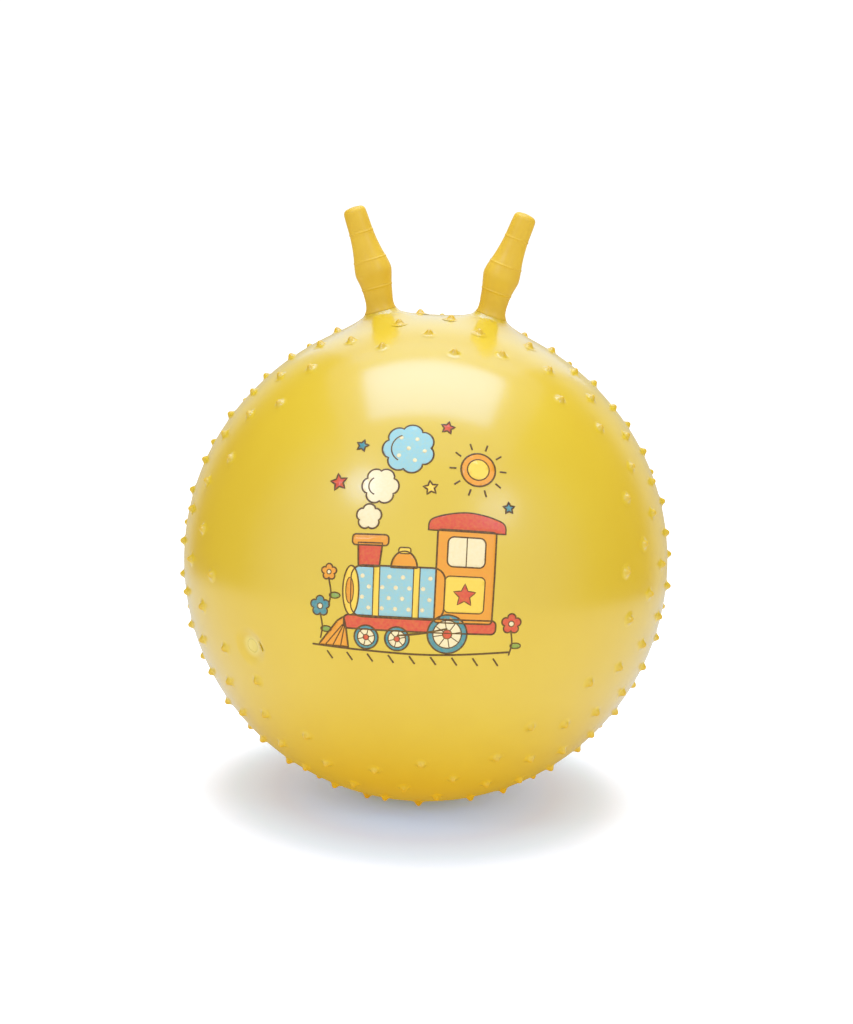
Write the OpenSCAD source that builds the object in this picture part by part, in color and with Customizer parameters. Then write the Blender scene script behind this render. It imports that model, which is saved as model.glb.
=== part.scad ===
// Hopper ball: an inflated vinyl ball for a child to sit and bounce on, held by two horns.
// The front is smooth, where a print goes, and the rest carries short soft nubs.
// Millimetres. The origin is on the floor under the middle of the ball, +Z is up,
// the smooth front faces -Y and the horns stand in the plane y = 0.

/* [Ball] */
// Diameter of the inflated ball
ball_d = 450; // [400:5:520]
// Thickness of the vinyl skin
skin_t = 1.2; // [0.8:0.1:2]
// Radius of the patch that the ball's weight presses flat on the floor
base_r = 30; // [22:1:40]

/* [Nubs] */
// Height of a nub above the skin
nub_h = 4.4; // [3:0.1:6]
// Radius of a nub at its foot
nub_r = 4.7; // [3:0.1:6]
// Distance between neighbouring nubs
nub_pitch = 45; // [38:1:70]
// Half angle of the smooth front, seen from the middle of the ball
smooth_angle = 52; // [40:1:70]
// Angle by which the smooth front looks up
front_tilt = 12; // [0:1:20]

/* [Horn roots] */
// Angle between each horn's root and the vertical
horn_lean = 12.3; // [9:0.1:20]
// Radius of the neck where the horn joins it
neck_r = 14.9; // [12:0.1:18]
// Height of the joint above the round of the ball
neck_h = 11; // [8:0.5:14]
// Distance from the horn at which a neck would run out on its own, along the skin
neck_reach = 130; // [110:2:150]
// Angle between the joint and the skin's own direction there, lower on the outer side
joint_tilt = 4; // [0:0.5:6]
// Height of the low crown that carries both necks, above the round of the ball
crown_h = 3.3; // [2.4:0.1:4.4]
// Distance from the top of the ball at which the crown has run out, along the skin
crown_reach = 178; // [150:2:206]

/* [Horns] */
// Length of a horn along its middle line, from the joint to the end
horn_l = 97.5; // [80:0.5:130]
// Largest radius of the grip
grip_r = 16.9; // [14:0.1:20]
// Wall of the hollow horn
horn_t = 2.6; // [1.8:0.1:4]
// Angle by which the grip bends outwards
horn_bend = 7.5; // [2:0.5:16]
// Distance from the joint to the start of the bend
bend_start = 21; // [15:1:30]
// Length over which the horn bends
bend_l = 23; // [20:1:60]
// Tilt of the horn's sections at its end
end_tilt = 8.5; // [4:0.5:12]
// Radius of the rounded end
tip_round = 5; // [3:0.5:7]
// Rise of the domed end above its rounded edge
tip_dome = 0.6; // [0.2:0.1:1.5]
// Distance from the joint to the first raised ring
ring_first = 22; // [15:1:28]
// Distance between raised rings
ring_pitch = 26; // [18:1:28]
// Height of a raised ring
ring_h = 0.5; // [0.2:0.1:1]
// Width of a raised ring
ring_w = 1.8; // [1:0.1:3]

/* [Valve] */
// Direction of the valve from the front, towards -X
valve_turn = 41; // [30:1:70]
// Angle of the valve below the middle of the ball
valve_drop = 14; // [0:1:30]
// Radius of the dimple round the valve
dimple_r = 16; // [13:0.5:20]
// Depth of the dimple
dimple_h = 4.4; // [3.5:0.1:6]
// Radius of the dimple's flat floor
floor_r = 8; // [7.5:0.1:9]
// Radius of the bore that the plug is pushed into
bore_r = 4.5; // [3.5:0.1:4.8]
// Radius of the seat's flange inside the skin
flange_r = 8; // [7.5:0.1:8.5]
// Thickness of the seat's flange
flange_t = 1.8; // [1:0.1:3]
// Radius of the seat's tube
seat_r = 6.4; // [5.8:0.1:7]
// Length of the seat, from the skin inwards
seat_l = 16; // [12:0.5:22]
// Radius of the plug's head
head_r = 6; // [5.8:0.1:7]
// Thickness of the plug's head
head_t = 1.2; // [1:0.1:2.2]
// Radius of the plug's stem between its ribs
stem_r = 3.9; // [3:0.1:4]
// Length of the plug's stem
stem_l = 20; // [16:0.5:26]
// Number of ribs round the stem
rib_count = 3; // [2:1:4]
// Radius of the hollow in the stem
core_r = 1.7; // [1:0.1:2.2]

/* [Hidden] */

// Smoothness of the ball, of the small round parts and of the nubs
ball_fn = 180;
small_fn = 48;
nub_fn = 18;

ball_r = ball_d / 2;
ball_z = sqrt(pow(ball_r, 2) - pow(base_r, 2));
overrun = 2;

// Nubs: a turn of the golden angle from each to the next lays them evenly and without rows.
golden_angle = 180 * (3 - sqrt(5));
nub_phase = 40;
hexagon_share = sqrt(3) / 2;
nub_total = round(4 * PI * pow(ball_r, 2) / (pow(nub_pitch, 2) * hexagon_share));
nub_horn_gap = 18;
nub_valve_gap = 9;
nub_floor_gap = 2;
// Radius and height along a nub's side, from its sunken foot to its blunt top
nub_side_shares = [[1.11, -0.11], [0.6, 0.5], [0.22, 1], [0, 1]];

// Horns: radius along the horn, as shares of its length and of the grip's largest radius
horn_side_shares = [
    [0, 0.885], [0.02, 0.825], [0.05, 0.775], [0.1, 0.761], [0.155, 0.785], [0.21, 0.815], [0.26, 0.866],
    [0.32, 0.946], [0.37, 1], [0.43, 0.967], [0.495, 0.888], [0.555, 0.809], [0.62, 0.742], [0.68, 0.698],
    [0.75, 0.66], [0.82, 0.645], [0.9, 0.633], [1, 0.598]
];
horn_sides = 28;
ring_count = 3;
station_pitch = 5;
hollow_station_pitch = 9;
tip_steps = 4;
tip_t = 6;
bend_end = bend_start + bend_l;
bend_r = bend_l / (horn_bend * PI / 180);
joint_shift = 0.85;
joint_shift_l = 14;

// Neck below a horn: how far along the skin from the joint to the end of its reach, and the height
// above the round of the ball as a share of the joint's height; it ends inside the crown
neck_side_shares = [
    [-0.0147, 1.2545], [-0.0078, 1.136], [0, 1], [0.0086, 0.882], [0.0207, 0.773], [0.0371, 0.673],
    [0.063, 0.5545], [0.0889, 0.473], [0.1192, 0.3955], [0.1623, 0.3136], [0.2055, 0.25], [0.2573, 0.165]
];
// Crown: how far along the skin from the top of the ball, and the height as a share of the crown's
crown_side_shares = [
    [0.06, 1], [0.2, 0.985], [0.36, 0.92], [0.48, 0.8], [0.522, 0.685], [0.57, 0.56], [0.625, 0.455],
    [0.7, 0.34], [0.79, 0.242], [0.89, 0.137], [0.978, 0.037], [1.03, -0.04]
];
neck_arc = ball_r * asin(neck_r / (ball_r + neck_h)) * PI / 180;
neck_side = [for (share = neck_side_shares) [neck_arc + share[0] * (neck_reach - neck_arc), share[1] * neck_h]];
crown_side = [for (share = crown_side_shares) [share[0] * crown_reach, share[1] * crown_h]];
joint_z = sqrt(pow(ball_r + neck_h, 2) - pow(neck_r, 2));
joint_margin = 4;

// Valve
floor_z = ball_r - dimple_h;
dimple_lip = 0.12;
dimple_steps = 8;
seat_face_z = floor_z - skin_t;
head_gap = 0.05;
head_edge = 0.5;
rib_clearance = 0.08;
rib_l = 2.2;
rib_from = 3.5;
rib_pitch = (stem_l - rib_from - rib_l) / rib_count;
stem_taper = 0.9;
core_depth = stem_l - 5;

// Directions, as unit vectors from the middle of the ball
function horn_dir(side) = [side * sin(horn_lean), 0, cos(horn_lean)];
valve_dir = [-sin(valve_turn) * cos(valve_drop), -cos(valve_turn) * cos(valve_drop), -sin(valve_drop)];
function arc_between(a, b) = ball_r * acos(min(1, max(-1, a * b))) * PI / 180;

// Puts children on the ball's middle with their +Z along a direction
module aim(dir) {
    translate([0, 0, ball_z])
        rotate([0, acos(dir[2]), atan2(dir[1], dir[0])])
            children();
}

// Height above the round of the ball at an arc from the axis of a neck or the crown
function height_at(side, arc) = arc > side[len(side) - 1][0] ? 0 : lookup(arc, side);

// Height of the skin above the round of the ball, a little way down its slope
function swelling(dir) =
    max(
        0,
        height_at(crown_side, arc_between(dir, [0, 0, 1]) + nub_r / 2),
        height_at(neck_side, arc_between(dir, horn_dir(1)) + nub_r / 2),
        height_at(neck_side, arc_between(dir, horn_dir(-1)) + nub_r / 2)
    );

// Point of a neck or the crown in a plane through its axis, moved in square to the skin by inset
function side_point(side, i, inset) =
    let (
        before = side[max(i - 1, 0)],
        after = side[min(i + 1, len(side) - 1)],
        angle = side[i][0] / ball_r * 180 / PI,
        square = angle - atan((after[1] - before[1]) / (after[0] - before[0])),
        r = ball_r + side[i][1]
    )
    [r * sin(angle) - inset * sin(square), r * cos(angle) - inset * cos(square)];

// Round body with the given side on the ball, whose flat top is raised by rise
module swell(side, inset, rise) {
    points = [for (i = [0:len(side) - 1]) side_point(side, i, inset)];
    top = points[0][1] + rise;
    foot = points[len(points) - 1][1];
    rotate_extrude($fn = ball_fn)
        polygon(concat(
            rise > 0 ? [[0, top], [points[0][0], top]] : [[0, top]],
            points,
            [[0, foot]]
        ));
}

// Block above a horn's joint
module joint_cut(side) {
    width = neck_r + joint_margin;
    aim(horn_dir(side))
        translate([joint_shift, 0, joint_z])
            rotate([0, joint_tilt, 0])
                translate([-width, -width, 0])
                    cube([2 * width, 2 * width, neck_h]);
}

// Side of the dimple, as a cut from its flat floor up past the ball's surface
function dimple_point(share, inset) =
    let (
        run = dimple_r - floor_r,
        rise = sqrt(pow(ball_r, 2) - pow(dimple_r, 2)) - floor_z + dimple_lip,
        slope = atan(rise / run * PI / 2 * sin(180 * share))
    )
    [
        floor_r + run * share + inset * sin(slope),
        floor_z + rise * (1 - cos(180 * share)) / 2 - inset * cos(slope)
    ];

module dimple(inset) {
    side = [for (i = [0:dimple_steps]) dimple_point(i / dimple_steps, inset)];
    top = ball_r + overrun;
    rotate_extrude($fn = small_fn)
        polygon(concat([[0, floor_z - inset]], side, [[side[dimple_steps][0], top], [0, top]]));
}

// Solid inside the skin's outer face, or inside its inner face when inset by the wall
module ball_form(inset) {
    difference() {
        union() {
            translate([0, 0, ball_z])
                sphere(ball_r - inset, $fn = ball_fn);
            aim([0, 0, 1])
                swell(crown_side, inset, 0);
            for (side = [-1, 1])
                aim(horn_dir(side))
                    swell(neck_side, inset, inset > 0 ? overrun : 0);
        }
        translate([-ball_r, -ball_r, inset - ball_r])
            cube([ball_d, ball_d, ball_r]);
        aim(valve_dir)
            dimple(inset);
    }
}

// Directions of the nubs, along a spiral round the smooth front's axis
function spiral_dir(i) =
    let (
        back = 1 - (2 * i + 1) / nub_total,
        out = sqrt(1 - pow(back, 2)),
        turn = i * golden_angle + nub_phase,
        y = -back,
        z = out * sin(turn)
    )
    [out * cos(turn), y * cos(front_tilt) + z * sin(front_tilt), z * cos(front_tilt) - y * sin(front_tilt)];

function nub_fits(i, dir) =
    1 - (2 * i + 1) / nub_total < cos(smooth_angle)
    && min(arc_between(dir, horn_dir(1)), arc_between(dir, horn_dir(-1))) > neck_r + nub_horn_gap
    && arc_between(dir, valve_dir) > dimple_r + nub_r + nub_valve_gap
    && ball_z + (ball_r + nub_h) * dir[2] > nub_floor_gap;

nub_dirs = [for (i = [0:nub_total - 1]) let (dir = spiral_dir(i)) if (nub_fits(i, dir)) dir];

module nub() {
    side = [for (share = nub_side_shares) [share[0] * nub_r, share[1] * nub_h]];
    rotate_extrude($fn = nub_fn)
        polygon(concat([[0, side[0][1]]], side));
}

module ball_skin() {
    color("gold")
        difference() {
            union() {
                ball_form(0);
                for (dir = nub_dirs)
                    aim(dir)
                        translate([0, 0, ball_r + swelling(dir)])
                            nub();
            }
            ball_form(skin_t);
            for (side = [-1, 1])
                joint_cut(side);
            aim(valve_dir)
                translate([0, 0, seat_face_z - overrun])
                    cylinder(h = skin_t + 2 * overrun, r = bore_r, $fn = small_fn);
        }
}

// Value at x of a smooth curve through points, by cubic pieces
function slope_at(points, i) =
    let (a = points[max(i - 1, 0)], b = points[min(i + 1, len(points) - 1)])
    (b[1] - a[1]) / (b[0] - a[0]);
function piece_of(points, x, i = 0) = i >= len(points) - 2 || x < points[i + 1][0] ? i : piece_of(points, x, i + 1);
function smooth_value(points, x) =
    let (
        i = piece_of(points, x),
        a = points[i],
        b = points[i + 1],
        w = b[0] - a[0],
        t = (x - a[0]) / w
    )
    (1 + 2 * t) * pow(1 - t, 2) * a[1] + t * pow(1 - t, 2) * w * slope_at(points, i)
    + t * t * (3 - 2 * t) * b[1] + t * t * (t - 1) * w * slope_at(points, i + 1);

// Middle line of a horn from the joint: nearly straight, bent through one arc, then straight again
function bend_angle(s) = min(max(s - bend_start, 0), bend_l) / bend_r * 180 / PI;
function middle_at(s) =
    let (
        angle = bend_angle(s),
        before = min(s, bend_start),
        after = max(s - bend_end, 0),
        shift = joint_shift * pow(max(1 - s / joint_shift_l, 0), 2)
    )
    [
        shift + bend_r * (1 - cos(angle)) + after * sin(angle),
        0,
        before + bend_r * sin(angle) + after * cos(angle)
    ];
function tilt_at(s) = joint_tilt + (end_tilt - joint_tilt) * s / horn_l;
function circle_at(s, r) =
    let (angle = tilt_at(s), middle = middle_at(s))
    [for (i = [0:horn_sides - 1])
        let (turn = 360 * i / horn_sides)
        middle + r * [cos(turn) * cos(angle), sin(turn), -cos(turn) * sin(angle)]];

// Radius of the horn at a length from its joint, with its raised rings
function horn_side_r(s) = grip_r * smooth_value(horn_side_shares, s / horn_l);
function ring_rise(s) =
    max([for (i = [0:ring_count - 1]) ring_h * max(0, 1 - abs(s - ring_first - i * ring_pitch) / (ring_w / 2))]);

// Lengths at which the horn's section is drawn: at each edge of a ring, and evenly between them
tip_start = horn_l - tip_round;
ring_marks = [for (i = [0:ring_count - 1], edge = [-1, 0, 1]) ring_first + i * ring_pitch + edge * ring_w / 2];
horn_marks = concat([0], ring_marks, [tip_start]);
horn_stations = [
    for (k = [0:len(horn_marks) - 2])
        let (a = horn_marks[k], b = horn_marks[k + 1], n = ceil((b - a) / station_pitch))
            for (i = [0:n - 1])
                a + (b - a) * i / n
];
hollow_l = horn_l - tip_t;
hollow_steps = ceil((hollow_l - tip_round) / hollow_station_pitch);
hollow_stations = [for (i = [0:hollow_steps]) (hollow_l - tip_round) * i / hollow_steps];

// A list of [length, radius] for the rounded end of a horn that ends at length l
function end_sections(l, full_r) =
    [for (i = [0:tip_steps])
        let (turn = 90 * i / tip_steps)
        [l - tip_round * (1 - sin(turn)), full_r - tip_round * (1 - cos(turn))]];

outer_sections = concat(
    [for (s = horn_stations) [s, horn_side_r(s) + ring_rise(s)]],
    end_sections(horn_l, horn_side_r(tip_start))
);
inner_sections = concat(
    [for (s = hollow_stations) [s, horn_side_r(s) - horn_t]],
    [for (section = end_sections(hollow_l, horn_side_r(hollow_l - tip_round) - horn_t))
        if (section[0] > hollow_l - tip_round) section]
);

// Triangles between two neighbouring rings of points, the first of which starts at index a
function band(a, b) =
    [for (i = [0:horn_sides - 1])
        let (j = (i + 1) % horn_sides)
        each [[a + i, b + i, a + j], [a + j, b + i, b + j]]];
function cap(a, apex) = [for (i = [0:horn_sides - 1]) [a + i, apex, a + (i + 1) % horn_sides]];
function flipped(faces) = [for (f = faces) [f[0], f[2], f[1]]];

module horn() {
    outer_n = len(outer_sections);
    inner_n = len(inner_sections);
    inner_from = outer_n * horn_sides + 1;
    outer_points = [for (section = outer_sections) each circle_at(section[0], section[1])];
    inner_points = [for (section = inner_sections) each circle_at(section[0], section[1])];
    points = concat(
        outer_points,
        [middle_at(horn_l + tip_dome)],
        inner_points,
        [middle_at(hollow_l)]
    );
    faces = concat(
        [for (k = [0:outer_n - 2]) each band(k * horn_sides, (k + 1) * horn_sides)],
        cap((outer_n - 1) * horn_sides, inner_from - 1),
        flipped([for (k = [0:inner_n - 2])
            each band(inner_from + k * horn_sides, inner_from + (k + 1) * horn_sides)]),
        flipped(cap(inner_from + (inner_n - 1) * horn_sides, len(points) - 1)),
        flipped(band(0, inner_from))
    );
    polyhedron(points, faces);
}

module right_horn() {
    color("goldenrod")
        aim(horn_dir(1))
            translate([0, 0, joint_z])
                horn();
}

module left_horn() {
    color("goldenrod")
        mirror([1, 0, 0])
            aim(horn_dir(1))
                translate([0, 0, joint_z])
                    horn();
}

module valve_seat() {
    color("khaki")
        aim(valve_dir)
            difference() {
                union() {
                    translate([0, 0, seat_face_z - flange_t])
                        cylinder(h = flange_t, r = flange_r, $fn = small_fn);
                    translate([0, 0, seat_face_z - seat_l])
                        cylinder(h = seat_l, r = seat_r, $fn = small_fn);
                }
                translate([0, 0, seat_face_z - seat_l - overrun])
                    cylinder(h = seat_l + 2 * overrun, r = bore_r, $fn = small_fn);
            }
}

// Outline of the plug from the middle of its head round to the mouth of its hollow
rib_r = bore_r - rib_clearance;
function rib_points(i) =
    let (z = -rib_from - i * rib_pitch)
    [[stem_r, z], [rib_r, z - rib_l / 4], [rib_r, z - rib_l / 2], [stem_r, z - rib_l]];

module valve_plug() {
    ribs = [for (i = [0:rib_count - 1]) each rib_points(i)];
    outline = concat(
        [[0, head_t], [head_r - head_edge, head_t], [head_r, head_t - head_edge], [head_r, 0], [stem_r, 0]],
        ribs,
        [[stem_r - stem_taper, -stem_l], [core_r, -stem_l], [core_r, core_depth - stem_l], [0, core_depth - stem_l]]
    );
    color("khaki")
        aim(valve_dir)
            translate([0, 0, floor_z + head_gap])
                rotate_extrude($fn = small_fn)
                    polygon(outline);
}

ball_skin();
left_horn();
right_horn();
valve_seat();
valve_plug();
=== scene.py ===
"""Looks of a hopper ball: pearly vinyl, two horn grips, soft nubs, a printed front and an air valve.

Lengths are in metres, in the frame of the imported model. The origin is on the floor under the middle
of the ball, +Z is up, the printed front faces -Y and +X is to the viewer's right.
"""

import logging
import math
from dataclasses import dataclass, field
from enum import Enum

import bmesh
import bpy
from mathutils import Matrix, Vector


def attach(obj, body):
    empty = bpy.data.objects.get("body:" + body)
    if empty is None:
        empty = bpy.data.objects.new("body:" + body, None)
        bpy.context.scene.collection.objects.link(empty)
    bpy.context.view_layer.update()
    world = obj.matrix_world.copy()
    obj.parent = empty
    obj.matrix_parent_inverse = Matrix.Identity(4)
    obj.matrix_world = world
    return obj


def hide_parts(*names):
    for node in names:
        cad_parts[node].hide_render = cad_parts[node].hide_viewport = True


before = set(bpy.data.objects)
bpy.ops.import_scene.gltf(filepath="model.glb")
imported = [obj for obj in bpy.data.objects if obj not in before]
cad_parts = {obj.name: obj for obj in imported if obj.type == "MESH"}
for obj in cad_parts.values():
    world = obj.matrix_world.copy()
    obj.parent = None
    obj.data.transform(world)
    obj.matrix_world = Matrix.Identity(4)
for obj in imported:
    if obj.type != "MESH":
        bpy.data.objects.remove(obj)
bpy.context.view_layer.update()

log = logging.getLogger("hopper_ball")

MM = 0.001
BALL_BODY = "ball"
PLUG_BODY = "plug"
Point2 = tuple[float, float]
Point3 = tuple[float, float, float]
Outline = list[Point2]
Curve = tuple[Point2, ...]
Grain = tuple[Point3, ...]
Colour = tuple[float, ...]
Tints = tuple[tuple[float, Point3], ...]
Numbers = tuple[tuple[str, float], ...]
Shell = bmesh.types.BMesh
Piece = bpy.types.Object
Material = bpy.types.Material
Socket = bpy.types.NodeSocket
POINT_MERGE = 0.002 * MM
SLICE_MERGE = 0.01 * MM
NOISE_MIDDLE = (0.3, 0.7)


def mixed(a: float, b: float, share: float) -> float:
    """Return the value that lies at a share of the way from a to b."""
    return a + (b - a) * share


def smooth_share(x: float) -> float:
    """Return x held between 0 and 1 and eased at both ends."""
    x = min(max(x, 0.0), 1.0)
    return x * x * (3.0 - 2.0 * x)


def curve_value(points: Curve, x: float) -> float:
    """Return the height of a smooth curve through points.

    Args:
        points: The points, in order of x.
        x: Where to read the curve, which goes on beyond its ends.

    Returns:
        The height.
    """

    def slope(i: int) -> float:
        """Return the slope at a point, from its neighbours."""
        before = points[max(i - 1, 0)]
        after = points[min(i + 1, len(points) - 1)]
        return (after[1] - before[1]) / (after[0] - before[0])

    i = max(k for k in range(len(points) - 1) if k == 0 or points[k][0] <= x)
    (x0, y0), (x1, y1) = points[i : i + 2]
    width = x1 - x0
    t = (x - x0) / width
    value = (1 + 2 * t) * (1 - t) ** 2 * y0 + t * (1 - t) ** 2 * width * slope(i)
    return value + t * t * (3 - 2 * t) * y1 + t * t * (t - 1) * width * slope(i + 1)


def linear(red: int, green: int, blue: int) -> Colour:
    """Return the linear colour, with alpha, of a display colour given in steps of 255."""

    def channel(value: int) -> float:
        """Return one channel in linear light."""
        share = value / 255.0
        return share / 12.92 if share <= 0.04045 else ((share + 0.055) / 1.055) ** 2.4

    return channel(red), channel(green), channel(blue), 1.0


def aimed(direction: Vector, centre: Vector) -> Matrix:
    """Return the matrix that stands +Z at a centre along a unit direction, turned about Y, then Z."""
    tilt = Matrix.Rotation(math.acos(max(-1.0, min(1.0, direction.z))), 4, "Y")
    turn = Matrix.Rotation(math.atan2(direction.y, direction.x), 4, "Z")
    return Matrix.Translation(centre) @ turn @ tilt


def spun(profile: Outline, steps: int) -> Shell:
    """Spin an outline of (radius, height) points about +Z.

    Args:
        profile: The outline, from its first end to its last. A point at radius 0 becomes a pole.
        steps: How many faces go round.

    Returns:
        A new bmesh with its doubles merged.
    """
    bm = bmesh.new()
    verts = [bm.verts.new((r, 0.0, z)) for r, z in profile]
    edges = [bm.edges.new(pair) for pair in zip(verts, verts[1:])]
    axis = {"cent": (0, 0, 0), "axis": (0, 0, 1), "angle": math.tau}
    bmesh.ops.spin(bm, geom=verts + edges, steps=steps, use_merge=True, **axis)
    bmesh.ops.remove_doubles(bm, verts=bm.verts[:], dist=POINT_MERGE)
    return bm


def sliced(bm: Shell, place: Vector, normal: Vector, merge: float = SLICE_MERGE, **clear: bool) -> None:
    """Cut a bmesh along a plane.

    Args:
        bm: The mesh.
        place: A point of the plane.
        normal: The plane's normal.
        merge: How near the plane a point counts as on it.
        clear: clear_outer or clear_inner, to take that side away.
    """
    geometry = bm.verts[:] + bm.edges[:] + bm.faces[:]
    bmesh.ops.bisect_plane(bm, geom=geometry, dist=merge, plane_co=place, plane_no=normal, **clear)


def moved(bm: Shell, matrix: Matrix) -> Shell:
    """Move every point of a bmesh by a matrix, and return the bmesh."""
    bmesh.ops.transform(bm, matrix=matrix, verts=bm.verts[:])
    return bm


def added(name: str, bm: Shell, material: Material, outward: bool = True) -> Piece:
    """Make a smooth-shaded object of a bmesh and link it to the scene.

    Args:
        name: The name of the piece.
        bm: The mesh, which is freed.
        material: Its finish.
        outward: Whether to turn its faces outwards first.

    Returns:
        The new object, at the origin.
    """
    if outward:
        bmesh.ops.recalc_face_normals(bm, faces=bm.faces[:])
    mesh = bpy.data.meshes.new(name)
    bm.to_mesh(mesh)
    bm.free()
    mesh.shade_smooth()
    mesh.materials.append(material)
    piece = bpy.data.objects.new(name, mesh)
    bpy.context.scene.collection.objects.link(piece)
    return piece


def walled(piece: Piece, thickness: float) -> Piece:
    """Give an open shell its wall, inwards from its outer face, and return it."""
    wall = piece.modifiers.new("wall", "SOLIDIFY")
    wall.thickness = thickness
    wall.offset = -1.0
    return piece


def cut_by(piece: Piece, block: Piece) -> None:
    """Take a closed block out of a closed piece, and remove the block."""
    cut = piece.modifiers.new("cut", "BOOLEAN")
    cut.operation = "DIFFERENCE"
    cut.solver = "EXACT"
    cut.object = block
    mesh = bpy.data.meshes.new_from_object(piece.evaluated_get(bpy.context.evaluated_depsgraph_get()))
    piece.modifiers.remove(cut)
    old = piece.data
    piece.data = mesh
    bpy.data.meshes.remove(old)
    mesh.name = piece.name
    shape = block.data
    bpy.data.objects.remove(block)
    bpy.data.meshes.remove(shape)


@dataclass(frozen=True)
class BallForm:
    """The outer surface of the inflated ball, which every other piece is set against."""

    radius: float = 225 * MM
    patch_radius: float = 30 * MM
    horn_lean: float = math.radians(12.3)
    neck_radius: float = 14.9 * MM
    neck_height: float = 11 * MM
    swell_reach: float = 130 * MM
    swell_power: float = 1.4
    joint_tilt: float = math.radians(4)
    joint_shift: float = 0.85 * MM
    joint_shift_length: float = 14 * MM
    valve_turn: float = math.radians(41)
    valve_drop: float = math.radians(14)
    dimple_radius: float = 16 * MM
    dimple_depth: float = 4.4 * MM
    floor_radius: float = 8 * MM
    floor_margin: float = 1 * MM
    dimple_ease: float = 3.5 * MM
    bore_radius: float = 4.5 * MM
    neck_side_shares: Curve = (
        (-0.0147, 1.2545), (-0.0078, 1.136), (0, 1), (0.0086, 0.882), (0.0207, 0.773),
        (0.0371, 0.673), (0.063, 0.5545), (0.0889, 0.473), (0.1192, 0.3955), (0.1623, 0.3136),
        (0.2055, 0.25), (0.2573, 0.2045), (0.3264, 0.168), (0.4128, 0.136), (0.5337, 0.102),
        (0.6718, 0.073), (0.8273, 0.041), (0.9655, 0.011), (1.1, 0), (4, 0),
    )

    @property
    def neck_arc(self) -> float:
        """Return the length along the ball from a horn's axis to the joint's edge."""
        return self.radius * math.asin(self.neck_radius / (self.radius + self.neck_height))

    @property
    def joint_height(self) -> float:
        """Return the distance from the ball's middle to a joint, along the horn's axis."""
        return math.sqrt((self.radius + self.neck_height) ** 2 - self.neck_radius**2)

    @property
    def centre(self) -> Vector:
        """Return the middle of the ball."""
        return Vector((0, 0, math.sqrt(self.radius**2 - self.patch_radius**2)))

    @property
    def valve(self) -> Vector:
        """Return the valve's outward direction."""
        flat = math.cos(self.valve_drop)
        turn = self.valve_turn
        return Vector((-math.sin(turn) * flat, -math.cos(turn) * flat, -math.sin(self.valve_drop)))

    @property
    def floor_height(self) -> float:
        """Return the distance from the ball's middle to the floor of the dimple."""
        return self.radius - self.dimple_depth

    def horn(self, side: int) -> Vector:
        """Return the direction of the horn on a side, -1 for -X or 1 for +X."""
        return Vector((side * math.sin(self.horn_lean), 0, math.cos(self.horn_lean)))

    def arc(self, a: Vector, b: Vector) -> float:
        """Return the length along the ball between two unit directions."""
        return self.radius * math.acos(max(-1.0, min(1.0, a.dot(b))))

    def horn_arc(self, direction: Vector) -> float:
        """Return the length along the ball from a direction to the nearer horn."""
        return min(self.arc(direction, self.horn(side)) for side in (-1, 1))

    def swell(self, arc: float) -> float:
        """Return how far the skin is swollen at an arc from a horn's axis."""
        share = (arc - self.neck_arc) / (self.swell_reach - self.neck_arc)
        return self.neck_height * curve_value(self.neck_side_shares, share)

    def swelling(self, direction: Vector) -> float:
        """Return how far the skin stands over the round of the ball in a direction."""
        heights = [max(self.swell(self.arc(direction, self.horn(side))), 0.0) for side in (-1, 1)]
        return sum(height**self.swell_power for height in heights) ** (1 / self.swell_power)

    def reach(self, direction: Vector) -> float:
        """Return the distance from the ball's middle to its skin in a direction, dimple included."""
        arc = self.arc(direction, self.valve)
        outer = self.dimple_radius + self.dimple_ease
        if arc >= outer:
            return self.radius + self.swelling(direction)
        inner = self.floor_radius + self.floor_margin
        level = self.floor_height / math.cos(arc / self.radius)
        return mixed(level, self.radius, smooth_share((arc - inner) / (outer - inner)))

    def point(self, direction: Vector) -> Vector:
        """Return the point of the skin in a direction."""
        return self.centre + direction * self.reach(direction)


FORM = BallForm()


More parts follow.
